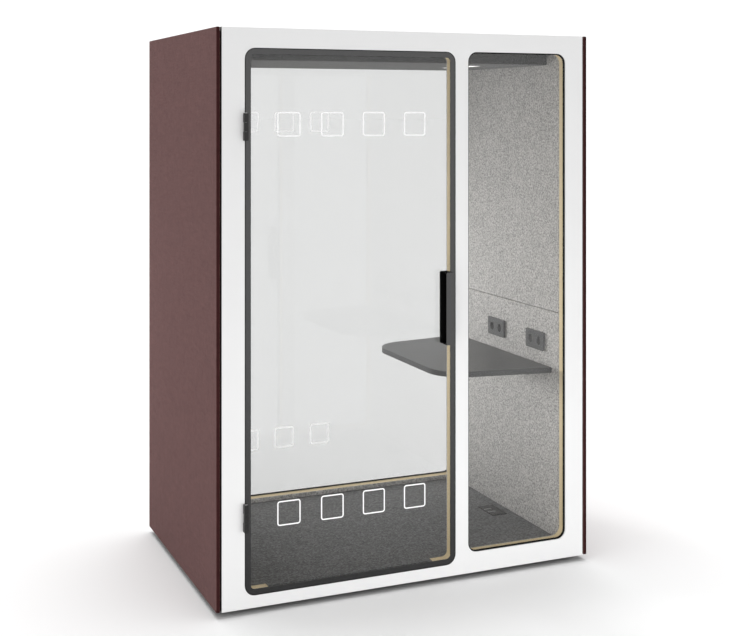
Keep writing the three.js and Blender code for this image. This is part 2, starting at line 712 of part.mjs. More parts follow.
// Floor box: tray let into the floor, hinged lid and two pale pulls on the lid
function addFloorBox() {
  const boxGroup = groupAt(pod, floorBoxX, floorBoxY, floorBoxTop);
  const innerX = FLOOR_BOX_W / 2 - FLOOR_BOX_WALL;
  const innerY = FLOOR_BOX_L / 2 - FLOOR_BOX_WALL;
  const outer = block(about(0, FLOOR_BOX_W), about(0, FLOOR_BOX_L), [-FLOOR_BOX_H, 0]);
  const cavity = block([-innerX, innerX], [-innerY, innerY], [-FLOOR_BOX_H + FLOOR_BOX_WALL, OVERRUN]);
  const ledgeTop = -LID_T - FIT_GAP;
  const ledgeX = [-innerX - OVERRUN, LID_LEDGE - innerX];
  const ledge = block(ledgeX, [-innerY, innerY], [ledgeTop - LID_LEDGE, ledgeTop]);
  const pivotX = innerX - LID_CLEARANCE - LID_T / 2;
  const pivotZ = -LID_T / 2;
  const pintleEnd = innerY + LID_PINTLE_L;
  const pivotHole = plateY(
    circle(LID_PINTLE_D / 2 + FIT_GAP, pivotX, pivotZ),
    [],
    [-pintleEnd - FIT_GAP, pintleEnd + FIT_GAP],
  );
  piece(boxGroup, "floor_box_tray", cut(join(cut(outer, cavity), ledge), pivotHole), darkMetal);

  const lidX = [LID_CLEARANCE - innerX, pivotX + LID_T / 2];
  const lidEnd = innerY - LID_CLEARANCE;
  const corners = [
    new THREE.Vector2(lidX[0], -LID_T),
    new THREE.Vector2(lidX[1], -LID_T),
    new THREE.Vector2(lidX[1], 0),
    new THREE.Vector2(lidX[0], 0),
  ];
  const roundEdge = (LID_T - LID_NOSE_FLAT) / 2;
  const plate = plateY(roundedPolygon(corners, [0, roundEdge, roundEdge, 0]), [], [-lidEnd, lidEnd]);
  const pintles = plateY(circle(LID_PINTLE_D / 2, pivotX, pivotZ), [], [-pintleEnd, pintleEnd]);
  const pullX = [lidX[0] + PULL_EDGE, lidX[0] + PULL_EDGE + PULL_L];
  const pullPlaces = [["front", -PULL_SPACING / 2], ["rear", PULL_SPACING / 2]];
  const pockets = pullPlaces.map(([, y]) =>
    block([pullX[0] - FIT_GAP, pullX[1] + FIT_GAP], about(y, PULL_W + 2 * FIT_GAP), [-PULL_SINK, OVERRUN]),
  );
  piece(boxGroup, "floor_box_lid", cut(join(plate, pintles), ...pockets), darkMetal);
  for (const [end, y] of pullPlaces) {
    const bar = block(pullX, about(y, PULL_W), [FIT_GAP - PULL_SINK, PULL_T - PULL_SINK]);
    piece(boxGroup, `floor_box_pull_${end}`, bar, paleGrey);
  }
}

// Door: metal frame with a thin front lip over a bonded pane, a seal, a channel pull and a push plate
function addDoor() {
  const innerInset = DOOR_GAP + DOOR_BORDER;
  const lipEdge = inset(doorOpening, innerInset, DOOR_INNER_R);
  const ring = plateY(inset(doorOpening, DOOR_GAP), [lipEdge], [0, DOOR_T]);
  const paneInset = innerInset - DOOR_GLASS_BITE;
  const paneRadius = DOOR_INNER_R + DOOR_GLASS_BITE;
  const paneFront = DOOR_LIP_T + FIT_GAP;
  const paneBack = paneFront + DOOR_GLASS_T;
  const rebate = plateY(
    inset(doorOpening, paneInset - FIT_GAP, paneRadius + FIT_GAP),
    [],
    [DOOR_LIP_T, DOOR_T + OVERRUN],
  );
  const doorEdge = doorLeft + DOOR_GAP;
  const mortises = hingeMortises([doorEdge - OVERRUN, doorEdge + mortiseDepth]);
  piece(pod, "door_frame", cut(ring, rebate, ...mortises), darkMetal);

  const handleRight = doorRight - innerInset - HANDLE_SIDE_GAP;
  const handleX = [handleRight - HANDLE_W, handleRight];
  const handleMiddle = handleRight - HANDLE_W / 2;
  const studLevels = about(handleZ, HANDLE_STUD_SPACING);
  const studHoles = studLevels.map((z) =>
    plateY(circle(HANDLE_STUD_D / 2 + FIT_GAP, handleMiddle, z), [], [0, DOOR_T]),
  );
  const pane = plateY(inset(doorOpening, paneInset, paneRadius), [], [paneFront, paneBack]);
  piece(pod, "door_glass", cut(pane, ...studHoles), clearGlass);

  const sealInset = DOOR_GAP + DOOR_SEAL_INSET;
  const seal = plateY(
    inset(doorOpening, sealInset),
    [inset(doorOpening, sealInset + DOOR_SEAL_W)],
    [DOOR_T + FIT_GAP, DOOR_T + DOOR_SEAL_T],
  );
  piece(pod, "door_seal", seal, blackRubber);

  const handleBack = paneFront - FIT_GAP;
  const faceOutline = rectangle(handleX, about(handleZ, HANDLE_H), HANDLE_R);
  const channel = block(
    [handleX[0] - OVERRUN, handleX[1] - HANDLE_WALL],
    [HANDLE_WALL - HANDLE_PROUD, handleBack - HANDLE_WALL],
    about(handleZ, HANDLE_H - 2 * HANDLE_CAP),
  );
  const studs = studLevels.map((z) =>
    plateY(circle(HANDLE_STUD_D / 2, handleMiddle, z), [], [handleBack - OVERRUN, paneBack]),
  );
  const body = plateY(faceOutline, [], [-HANDLE_PROUD, handleBack]);
  piece(pod, "door_handle", join(cut(body, channel), ...studs), darkMetal);
  const plateSpan = [paneBack + FIT_GAP, paneBack + FIT_GAP + PUSH_PLATE_T];
  piece(pod, "door_push_plate", plateY(faceOutline, [], plateSpan), blackMetal);
}

// A hinge about its own axis: two square knuckles on the frame leaf, one on the door leaf, and a pin
function addHinge(level, z) {
  const hinge = groupAt(pod, hingeX, -HINGE_AXIS_PROUD, z);
  const half = HINGE_H / 2;
  const knuckleH = (HINGE_H - 2 * HINGE_KNUCKLE_GAP) / 3;
  const frameZones = [[-half, knuckleH - half], [half - knuckleH, half]];
  const doorZones = [[-knuckleH / 2, knuckleH / 2]];
  const bore = plateZ(circle(HINGE_PIN_D / 2 + FIT_GAP), [], [-half - OVERRUN, half + OVERRUN]);
  const leafBack = HINGE_AXIS_PROUD + leafEnd;
  const knuckleHalf = HINGE_KNUCKLE_W / 2;
  const knuckle = rectangle([-knuckleHalf, knuckleHalf], [-knuckleHalf, knuckleHalf], HINGE_KNUCKLE_R);
  const leafClear = Math.SQRT2 * knuckleHalf + HINGE_KNUCKLE_GAP;
  const leafNear = DOOR_GAP / 2 + HINGE_LEAF_SET;

  const leaf = (sign, zones) => {
    const span = (low, high) => (sign > 0 ? [low, high] : [-high, -low]);
    const plateSpan = span(leafNear, leafNear + HINGE_LEAF_T);
    const pieces = [block(plateSpan, [leafClear, leafBack], [-half, half])];
    for (const zone of zones) {
      pieces.push(plateZ(knuckle, [], zone));
      pieces.push(block(span(0, knuckleHalf), [0, HINGE_AXIS_PROUD - FIT_GAP], zone));
      pieces.push(block(plateSpan, [0, leafBack], zone));
    }
    return cut(join(...pieces), bore);
  };
  piece(hinge, `hinge_${level}_frame_leaf`, leaf(-1, frameZones), blackMetal);
  piece(hinge, `hinge_${level}_door_leaf`, leaf(1, doorZones), blackMetal);

  const headBottom = half + FIT_GAP;
  const profile = [
    [0, -half],
    [HINGE_PIN_D / 2, -half],
    [HINGE_PIN_D / 2, headBottom],
    [HINGE_PIN_HEAD_D / 2, headBottom],
    [HINGE_PIN_HEAD_D / 2, headBottom + HINGE_PIN_HEAD_T],
    [0, headBottom + HINGE_PIN_HEAD_T],
  ].map(([r, level]) => new THREE.Vector2(r, level));
  const pin = new THREE.LatheGeometry(profile, ROUND_STEPS).rotateX(Math.PI / 2);
  piece(hinge, `hinge_${level}_pin`, pin, steel);
}

addBase();
addSideWall("left", -1);
addSideWall("right", 1);
addFront();
addRear();
addRoof();
addCeiling();
fanPlaces.forEach(([side, x]) => addFan(side, x));
addTable();
socketPlates.forEach(addSockets);
addFloorBox();
addDoor();
hingeLevels.forEach(([level, z]) => addHinge(level, z));

export default pod;
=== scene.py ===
# Looks of a one-person acoustic office pod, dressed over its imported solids: woven side panels, felt,
# carpet, lacquer, plywood, glass, metal and plastic. Metres, +Z up, and the front faces -Y.
import json
import math
from contextlib import contextmanager

import bmesh
import bpy
from mathutils import Matrix, Vector


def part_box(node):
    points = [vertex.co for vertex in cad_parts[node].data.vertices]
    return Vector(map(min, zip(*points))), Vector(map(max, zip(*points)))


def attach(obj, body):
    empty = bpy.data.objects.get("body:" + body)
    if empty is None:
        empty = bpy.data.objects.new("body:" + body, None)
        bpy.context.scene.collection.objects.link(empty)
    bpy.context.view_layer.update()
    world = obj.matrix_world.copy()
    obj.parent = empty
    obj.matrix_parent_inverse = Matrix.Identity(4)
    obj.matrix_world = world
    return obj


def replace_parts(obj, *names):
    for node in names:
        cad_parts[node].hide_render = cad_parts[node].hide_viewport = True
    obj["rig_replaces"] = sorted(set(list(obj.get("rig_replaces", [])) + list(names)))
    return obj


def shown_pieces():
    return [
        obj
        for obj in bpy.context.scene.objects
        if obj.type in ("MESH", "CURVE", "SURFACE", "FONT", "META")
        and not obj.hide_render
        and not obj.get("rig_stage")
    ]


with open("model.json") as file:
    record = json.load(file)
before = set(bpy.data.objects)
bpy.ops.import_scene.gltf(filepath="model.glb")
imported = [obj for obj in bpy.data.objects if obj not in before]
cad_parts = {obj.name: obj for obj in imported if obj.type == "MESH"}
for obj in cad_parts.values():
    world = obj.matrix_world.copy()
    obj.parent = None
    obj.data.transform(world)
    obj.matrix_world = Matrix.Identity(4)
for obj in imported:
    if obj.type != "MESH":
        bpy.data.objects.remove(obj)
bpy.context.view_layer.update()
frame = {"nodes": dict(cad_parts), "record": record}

MM = 0.001

# Angles between faces: flat enough to merge, hard enough to round, sharp enough to shade as an edge
FLAT_ANGLE = math.radians(1)
HARD_ANGLE = math.radians(35)
SHARP_ANGLE = math.radians(40)

# A face looks along an axis above the first share of its normal, and away from it below the second
FACING = 0.9
TURNED = 0.6

# Points this close are merged, and these count as one height
SAME_POINT = 0.001 * MM
SAME_HEIGHT = 0.1 * MM

# Camera, from the photograph's vanishing lines
PHOTO_SIZE = (750, 636)
CAMERA_PLACE = (-2.1666, -5.1895, 1.9313)
CAMERA_TURN = -23.222
FOCAL_PIXELS = 1268.2
CENTRE_COLUMN = 375.4
HORIZON_ROW = 111.64
SENSOR_WIDTH = 36.0

# Studio: brightness of the white room as seen and as light, and each lamp's power, place and target
FLOOR_SIZE = 600
BACKDROP = 1.13
ROOM_LIGHT = 0.625
TOP_LIGHT = 1.8
TOP_LIGHT_PLACE = (-0.2, 1.4, 8)
TOP_LIGHT_TARGET = (0, 0, 0)
TOP_LIGHT_SHAPE = {"angle": math.radians(50)}
LOW_FILL = 16
LOW_FILL_PLACE = (0.2, -2.3, 0.15)
LOW_FILL_TARGET = (0.1, 0, 0.2)
LOW_FILL_SHAPE = {"shape": "RECTANGLE", "size": 2.4, "size_y": 0.2}
REAR_FILL = 11.5
REAR_FILL_PLACE = (-0.9, 3.2, 1.0)
REAR_FILL_TARGET = (0.6, 0, 0.95)
REAR_FILL_SHAPE = {"shape": "RECTANGLE", "size": 1.2, "size_y": 0.5, "spread": math.radians(44)}

# The room darkens underfoot: one plus a direction's height, where it is dark and where it is white
DARK_BELOW = 0.66
WHITE_ABOVE = 0.76
DARK_SHADE = 0.05

# Share of light that glass mirrors when seen straight on
GLASS_MIRROR = 0.04

# How far each finish rounds the edges of a hard solid
EDGE_RADIUS = {
    "white_lacquer": 1.5 * MM,
    "plywood": 0.8 * MM,
    "wall_core": 1.0 * MM,
    "dark_board": 1.5 * MM,
    "grey_felt": 2.0 * MM,
    "raft_felt": 6.0 * MM,
    "black_rubber": 0.3 * MM,
    "dark_metal": 0.6 * MM,
    "black_metal": 0.7 * MM,
    "steel": 0.5 * MM,
    "grey_plastic": 0.6 * MM,
    "black_plastic": 0.6 * MM,
    "pale_grey_plastic": 0.8 * MM,
    "lamp_diffuser": 0.5 * MM,
}

# Solids with walls too thin for that
THIN_EDGE_RADIUS = {"lamp_housing": 0.6 * MM}

# Where a solid changes finish: depth behind its front, depth inside its sides, room round the door
FRONT_DEPTH = 1 * MM
SIDE_DEPTH = 2 * MM
JAMB_ROOM = 6 * MM

# Plywood
PLY_THICKNESS = 1.4 * MM

# Woven side panels
PANEL_EDGE_RADIUS = 4 * MM
PANEL_EDGE_STEPS = 4
PANEL_CROWN = 1.2 * MM
PANEL_CROWN_POWER = 6
PANEL_CUTS = 15
THREAD_PITCH = 2.6 * MM

# Carpet
CARPET_THICKNESS = 7 * MM
FLAP_THICKNESS = 3 * MM
FLAP_EDGE_RADIUS = 1 * MM
FLOOR_BOX_ROOM = 0.3 * MM
PILE_CELL = 7 * MM
PILE_HEIGHT = 1.2 * MM
LOOP_SIZE = 6 * MM
PILE_ANGLE = math.radians(60)

# Worktop
WORKTOP_SLANT = math.radians(8.5)
WORKTOP_CORNER_RADIUS = 150 * MM
WORKTOP_CORNER_STEPS = 20
WORKTOP_EDGE_RADIUS = 2 * MM

# Socket inserts
SOCKET_RIM = 2.5 * MM
SOCKET_DEPTH = 16.5 * MM
SOCKET_SIDES = 48
SOCKET_EDGE_RADIUS = 0.5 * MM
PIN_HOLE_SIDES = 20
PIN_HOLE_RADIUS = 2.6 * MM
PIN_HOLE_SPACING = 19 * MM
PIN_HOLE_DEPTH = 2 * MM
EARTH_CLIP_SIZE = Vector((9, 5, 1.6)) * MM

# Marks on the glass
MARK_SIZE = 96 * MM
MARK_CORNER = 11 * MM
MARK_CORNER_STEPS = 8
MARK_STROKE = 5 * MM
MARK_FILM = 0.2 * MM
MARK_LIFT = 0.05 * MM
MARK_CENTRES = [-531 * MM, -350 * MM, -172 * MM, 8 * MM]
MARK_HEIGHTS = [373 * MM, 1882 * MM]

# Wire guards over the roof vents
GUARD_RADII = [14 * MM, 28 * MM, 42 * MM, 56 * MM, 60 * MM]
GUARD_WIRE = 1.1 * MM
GUARD_WIRE_SIDES = 8
GUARD_RING_SIDES = 48
GUARD_RING_LIFT = 3 * GUARD_WIRE
GUARD_SPOKE_LIFT = 1.1 * GUARD_WIRE
GUARD_SPOKES = 4

# Mains inlet blades
BLADE_SIZE = Vector((2, 4, 6)) * MM
BLADE_PLACES = [(-7 * MM, 0), (0, 2 * MM), (7 * MM, 0)]
BLADE_EDGE_RADIUS = 0.4 * MM
INLET_FLOOR = 4 * MM

slot_of = {part["node"]: part["material_slot"] for part in frame["record"]["subparts"]}
bodies = frame["record"]["behaviour"]["bodies"]
carrier_of = {node: body for body, nodes in bodies.items() for node in nodes}


# Modelling by hand

def deselect_all():
    bpy.ops.object.select_all(action="DESELECT")


def select_only(piece):
    deselect_all()
    piece.select_set(True)
    bpy.context.view_layer.objects.active = piece


@contextmanager
def editing(piece):
    select_only(piece)
    bpy.ops.object.mode_set(mode="EDIT")
    yield
    bpy.ops.object.mode_set(mode="OBJECT")


def pick(piece, kind, test):
    """Selects the vertices, edges or faces that pass the test, in edit mode."""
    bpy.ops.mesh.select_mode(type=kind)
    bpy.ops.mesh.select_all(action="DESELECT")
    mesh = bmesh.from_edit_mesh(piece.data)
    elements = {"VERT": mesh.verts, "EDGE": mesh.edges, "FACE": mesh.faces}[kind]
    for element in elements:
        if test(element):
            element.select_set(True)
    mesh.select_flush_mode()
    bmesh.update_edit_mesh(piece.data)


def push(offset):
    """Extrudes the selected faces by an offset."""
    bpy.ops.mesh.extrude_region_move(TRANSFORM_OT_translate={"value": offset})


def modify(piece, kind, **settings):
    """Adds a modifier, sets it and applies it."""
    select_only(piece)
    modifier = piece.modifiers.new(kind.lower(), kind)
    for key, value in settings.items():
        setattr(modifier, key, value)
    bpy.ops.object.modifier_apply(modifier=modifier.name)


def placed(name):
    """The primitive just added, under its name, with its place and size in its mesh."""
    piece = bpy.context.active_object
    piece.name = name
    piece.data.name = name
    bpy.ops.object.transform_apply(location=True, rotation=True, scale=True)
    return piece


def block(name, low, high):
    """A box between two corners."""
    deselect_all()
    bpy.ops.mesh.primitive_cube_add(size=1, location=(low + high) / 2, scale=high - low)
    return placed(name)


def rod(name, centre, radius, length, turn, sides):
    """A round bar, turned from upright."""
    deselect_all()
    bpy.ops.mesh.primitive_cylinder_add(
        vertices=sides, radius=radius, depth=length, location=centre, rotation=turn
    )
    return placed(name)


def joined(name, pieces):
    """Several pieces made one, under a name."""
    deselect_all()
    for piece in pieces:
        piece.select_set(True)
    bpy.context.view_layer.objects.active = pieces[0]
    bpy.ops.object.join()
    pieces[0].name = name
    pieces[0].data.name = name
    return pieces[0]


def copied(piece, offset):
    """A copy with its own mesh, moved by an offset."""
    twin = piece.copy()
    twin.data = piece.data.copy()
    twin.data.transform(Matrix.Translation(offset))
    bpy.context.scene.collection.objects.link(twin)
    return twin


def cut_away(piece, tool):
    """Cuts a tool's shape out of a piece and deletes the tool."""
    modify(piece, "BOOLEAN", operation="DIFFERENCE", object=tool, solver="EXACT")
    bpy.data.objects.remove(tool)


def smooth(piece):
    """Shades a piece smooth, apart from its sharp edges."""
    select_only(piece)
    bpy.ops.object.shade_smooth_by_angle(angle=SHARP_ANGLE)
    modify(piece, "WEIGHTED_NORMAL", keep_sharp=True)


def bevel_edges(piece, radius, segments):
    """Rounds the hard edges of a piece."""
    limits = {"limit_method": "ANGLE", "angle_limit": HARD_ANGLE}
    modify(piece, "BEVEL", width=radius, segments=segments, **limits)


def round_edges(piece, radius, segments=3):
    """Rounds the hard edges of a piece and shades it smooth."""
    bevel_edges(piece, radius, segments)
    smooth(piece)


def softened(node, radius):
    """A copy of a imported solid, its triangles merged into flat faces and its hard edges rounded."""
    mesh = frame["nodes"][node].data.copy()
    piece = bpy.data.objects.new(f"{node}_dressed", mesh)
    bpy.context.scene.collection.objects.link(piece)
    with editing(piece):
        bpy.ops.mesh.select_all(action="SELECT")
        bpy.ops.mesh.remove_doubles(threshold=SAME_POINT)
        bpy.ops.mesh.dissolve_limited(angle_limit=FLAT_ANGLE)
    round_edges(piece, radius)
    return piece


# Shader arithmetic

class Field:
    """A shader socket that takes part in arithmetic: each operator adds a Math node."""

    def __init__(self, finish, socket):
        self.finish = finish
        self.socket = socket

    def out(self, name):
        return Field(self.finish, self.socket.node.outputs[name])

    def sine(self):
        return self.finish.arithmetic("SINE", self)

    def __add__(self, other):
        return self.finish.arithmetic("ADD", self, other)

    def __sub__(self, other):
        return self.finish.arithmetic("SUBTRACT", self, other)

    def __rsub__(self, other):
        return self.finish.arithmetic("SUBTRACT", other, self)

    def __mul__(self, other):
        return self.finish.arithmetic("MULTIPLY", self, other)

    def __pow__(self, other):
        return self.finish.arithmetic("POWER", self, other)

    def __gt__(self, other):
        return self.finish.arithmetic("GREATER_THAN", self, other)

    def __abs__(self):
        return self.finish.arithmetic("ABSOLUTE", self)

    __radd__ = __add__
    __rmul__ = __mul__


class Finish:
    """A material or a world in the making, with one method that adds every node."""

    def __init__(self, owner, coordinates="Object"):
        owner.use_nodes = True
        self.owner = owner
        self.tree = owner.node_tree
        self.tree.nodes.clear()
        self.place = self.node("TexCoord", output=coordinates)

    def node(self, kind, settings=None, inputs=None, output=0):
        made = self.tree.nodes.new("ShaderNode" + kind)
        for key, value in (settings or {}).items():
            if key == "stops":
                self.set_stops(made.color_ramp.elements, value)
            else:
                setattr(made, key, value)
        for key, value in (inputs or {}).items():
            if isinstance(value, Field):
                self.tree.links.new(value.socket, made.inputs[key])
            else:
                made.inputs[key].default_value = value
        return Field(self, made.outputs[output] if made.outputs else None)

    def arithmetic(self, operation, *values):
        return self.node("Math", {"operation": operation}, dict(enumerate(values)))

    def set_stops(self, elements, stops):
        while len(elements) < len(stops):
            elements.new(1)
        for element, (position, colour) in zip(elements, stops):
            element.position = position
            element.color = colour

    def axes(self):
        x = self.node("SeparateXYZ", inputs={0: self.place})
        return x, x.out("Y"), x.out("Z")

    def stretched(self, scale):
        return self.node("Mapping", inputs={"Vector": self.place, "Scale": scale})

    def noise(self, scale, detail=3.0, roughness=0.5, stretch=None):
        vector = self.stretched(stretch) if stretch else self.place
        inputs = {"Vector": vector, "Scale": scale, "Detail": detail, "Roughness": roughness}
        return self.node("TexNoise", inputs=inputs)

    def blend(self, factor, first, second):
        """A mix of two colours, which are the node's sockets 6 and 7, with its result at 2."""
        inputs = {0: factor, 6: first, 7: second}
        return self.node("Mix", {"data_type": "RGBA", "clamp_factor": True}, inputs, output=2)

    def ramp(self, factor, stops):
        return self.node("ValToRGB", {"stops": stops}, {0: factor})

    def principled(self, colour, roughness, height=None, depth=0.0, **sockets):
        inputs = {"Base Color": colour, "Roughness": roughness}
        inputs.update({key.replace("_", " "): value for key, value in sockets.items()})
        if height is not None:
            inputs["Normal"] = self.node("Bump", inputs={"Distance": depth, "Height": height})
        return self.done(self.node("BsdfPrincipled", inputs=inputs))

    def done(self, shader, end="OutputMaterial"):
        self.node(end, inputs={"Surface": shader})
        return self.owner


def new_finish(name):
    return Finish(bpy.data.materials.new(name))


def grey(value, warmth=0.0):
    return (value * (1 + warmth), value, value * (1 - warmth), 1.0)


# Finishes, one for each material slot and a few for single faces

def plain_weave(name, colour, sheen, gloss):
    """Warp and weft take turns on top, in yarns of three shades, with painted shade that darkens the
    hollows.
    """
    finish = new_finish(name)
    x, y, z = finish.axes()
    turn = math.pi / THREAD_PITCH
    warp = ((x + y) * turn).sine()
    weft = (z * turn).sine()
    warp_on_top = warp * weft > 0.0
    height = abs(warp) * warp_on_top + abs(weft) * (1 - warp_on_top)
    warp_yarn = finish.noise(scale=160, detail=2, stretch=(1, 1, 0.06))
    weft_yarn = finish.noise(scale=160, detail=2, stretch=(0.06, 0.06, 1))
    yarn = warp_yarn * warp_on_top + weft_yarn * (1 - warp_on_top)
    blotch = finish.noise(scale=60, detail=3)
    tone = finish.ramp(
        yarn * 0.6 + blotch * 0.4, [(0.34, colour(0.75)), (0.50, colour(1.0)), (0.66, colour(1.3))]
    )
    # Painted shade: the hollows between the yarns are blended towards a darker tone
    tone_with_painted_shade = finish.blend(1 - height * 0.9, tone, colour(0.45))
    return finish.principled(
        tone_with_painted_shade,
        0.85 + finish.noise(scale=400) * 0.1,
        height=height,
        depth=0.5 * MM,
        Sheen_Weight=sheen,
        Sheen_Roughness=0.45,
        Sheen_Tint=(0.85, 0.62, 0.62, 1),
        Specular_IOR_Level=gloss,
    )


def white_lacquer():
    """Satin lacquer with a fine orange peel."""
    finish = new_finish("white_lacquer")
    tone = finish.blend(finish.noise(scale=2.5, detail=2), grey(0.79), grey(0.82))
    peel = finish.noise(scale=700, detail=2)
    roughness = 0.35 + finish.noise(scale=60) * 0.12
    return finish.principled(tone, roughness, height=peel, depth=0.02 * MM, Specular_IOR_Level=0.3)


def birch_veneer():
    """The face of birch plywood, with long upright grain."""
    finish = new_finish("birch_veneer")
    grain = finish.noise(scale=70, detail=5, roughness=0.6, stretch=(1, 1, 0.06))
    tone = finish.ramp(grain, [(0.35, (0.86, 0.66, 0.41, 1)), (0.62, (0.98, 0.78, 0.51, 1))])
    return finish.principled(tone, 0.45 + grain * 0.15, height=grain, depth=0.08 * MM, Coat_Weight=0.1)


def plywood_layers():
    """The edge of birch plywood: pale and darker layers, flecked along their length."""
    finish = new_finish("plywood_layers")
    _, y, _ = finish.axes()
    layer = (y * (math.pi / PLY_THICKNESS)).sine() > 0.0
    fleck = finish.noise(scale=240, detail=3, stretch=(0.3, 2, 0.3))
    tone = finish.blend(layer * 0.7 + fleck * 0.3, (1.0, 0.84, 0.53, 1), (0.96, 0.76, 0.45, 1))
    return finish.principled(tone, 0.5 + fleck * 0.15, height=fleck, depth=0.08 * MM, Coat_Weight=0.1)


def pressed_felt(name, dark, middle, light, warmth=0.0):
    """Pressed fibre board: fibres of several greys lie every way, over soft clouds of tone."""
    finish = new_finish(name)
    cloud = finish.noise(scale=26, detail=3)
    tuft = finish.noise(scale=135, detail=2, roughness=0.6)
    fibre = finish.noise(scale=520, detail=3, roughness=0.7)
    mottle = cloud * 0.1 + tuft * 0.7 + fibre * 0.2
    tone = finish.ramp(
        mottle, [(0.40, grey(dark, warmth)), (0.50, grey(middle, warmth)), (0.60, grey(light, warmth))]
    )
    height = fibre * 0.7 + tuft * 0.3
    return finish.principled(
        tone,
        0.95,
        height=height,
        depth=0.35 * MM,
        Sheen_Weight=0.1,
        Sheen_Roughness=0.6,
        Specular_IOR_Level=0.1,
    )


def carpet():
    """Short loop pile: a rounded tuft in each cell, in flecked dark greys."""
    finish = new_finish("carpet")
    loop = finish.node("TexVoronoi", inputs={"Vector": finish.place, "Scale": 1 / LOOP_SIZE})
    fleck = finish.node("SeparateColor", inputs={0: loop.out("Color")})
    yarn = finish.noise(scale=600, detail=3, roughness=0.7)
    shade = fleck * 0.45 + yarn * 0.45 + finish.noise(scale=14, detail=3) * 0.10
    tone = finish.ramp(shade, [(0.25, grey(0.131)), (0.50, grey(0.212)), (0.75, grey(0.328))])
    height = (1 - loop) * 0.8 + yarn * 0.2
    return finish.principled(
        tone, 0.95, height=height, depth=PILE_HEIGHT, Sheen_Weight=0.1, Specular_IOR_Level=0.1
    )


def clear_glass():
    """Clear glass: a mirror that strengthens towards grazing, over a faintly tinted view through."""
    finish = new_finish("clear_glass")
    edge_on = finish.node("LayerWeight", inputs={"Blend": 0.5}, output="Facing")
    wiped = finish.noise(scale=5, detail=3, stretch=(1, 1, 0.3))
    mirror = (edge_on**5.0 * (1 - GLASS_MIRROR) + GLASS_MIRROR) * (wiped * 0.3 + 0.85)
    through = finish.node("BsdfTransparent", inputs={"Color": (0.912, 0.914, 0.913, 1)})
    gloss = finish.node("BsdfAnisotropic", inputs={"Roughness": 0.0})
    return finish.done(finish.node("MixShader", inputs={0: mirror, 1: through, 2: gloss}))


def glass_film(name, glow):
    """White film on glass, mottled as printed film is, with a painted glow that stands in for light
    from behind.
    """
    finish = new_finish(name)
    grain = finish.noise(scale=350, detail=3, roughness=0.6)
    tone = finish.blend(grain, grey(0.88), grey(0.93))
    painted_glow_tint = finish.blend(finish.noise(scale=40, detail=2), grey(0.95), grey(1.0))
    # Painted light: the film emits light, standing in for light that comes through it from behind
    return finish.principled(
        tone,
        0.55 + grain * 0.1,
        height=grain,
        depth=0.01 * MM,
        Emission_Color=painted_glow_tint,
        Emission_Strength=glow,
    )


def coated(name, tone, roughness, speckle, grain_scale=900, **sockets):
    """A painted or rubber surface with a fine grain and an uneven sheen."""
    finish = new_finish(name)
    grain = finish.noise(scale=grain_scale, detail=2, roughness=0.6)
    colour = finish.blend(grain, grey(tone * (1 - speckle)), grey(tone * (1 + speckle)))
    uneven = roughness - 0.06 + finish.noise(scale=35) * 0.12
    return finish.principled(colour, uneven, height=grain, depth=0.015 * MM, **sockets)


def moulded(name, tone, speckle):
    """Moulded plastic, with a finer grain than paint."""
    return coated(name, tone, roughness=0.5, speckle=speckle, grain_scale=1400)


def steel():
    """Brushed steel."""
    finish = new_finish("steel")
    brushed = finish.noise(scale=900, detail=3, stretch=(1, 1, 0.03))
    tone = finish.blend(brushed, grey(0.50), grey(0.68))
    return finish.principled(tone, 0.25 + brushed * 0.2, height=brushed, depth=0.02 * MM, Metallic=1.0)


def board(name, dark, light):
    """Pressed wood board: small chips of two tones."""
    finish = new_finish(name)
    chips = finish.node("TexVoronoi", inputs={"Vector": finish.place, "Scale": 240})
    tone = finish.blend(chips * 0.6 + finish.noise(scale=20) * 0.4, dark, light)
    return finish.principled(tone, 0.55 + finish.noise(scale=90) * 0.2, height=chips, depth=0.06 * MM)


def matt_laminate(name, dark, middle, light):
    """Matt laminate with a faint pebble, and finer flecks of a lighter grey."""
    finish = new_finish(name)
    fleck = finish.noise(scale=420, detail=4, roughness=0.7)
    cloud = finish.noise(scale=9, detail=3)
    tone = finish.ramp(
        fleck * 0.7 + cloud * 0.3, [(0.35, grey(dark)), (0.52, grey(middle)), (0.68, grey(light))]
    )
    return finish.principled(tone, 0.32 + fleck * 0.12, height=fleck, depth=0.03 * MM)


def lamp_diffuser():
    """Opal plastic, lit from behind a little unevenly."""
    finish = new_finish("lamp_diffuser")
    frost = finish.noise(scale=500, detail=2)
    glow = finish.blend(finish.noise(scale=12, detail=2), (1.0, 0.97, 0.92, 1), (1.0, 0.99, 0.96, 1))
    return finish.principled(
        grey(0.85),
        0.4 + frost * 0.2,
        height=frost,
        depth=0.05 * MM,
        Emission_Color=glow,
        Emission_Strength=1.8,
    )


def burgundy(shade):
    return (shade * 0.190, shade * 0.094, shade * 0.090, 1.0)


def dark_red(shade):
    return (shade * 0.055, shade * 0.019, shade * 0.019, 1.0)


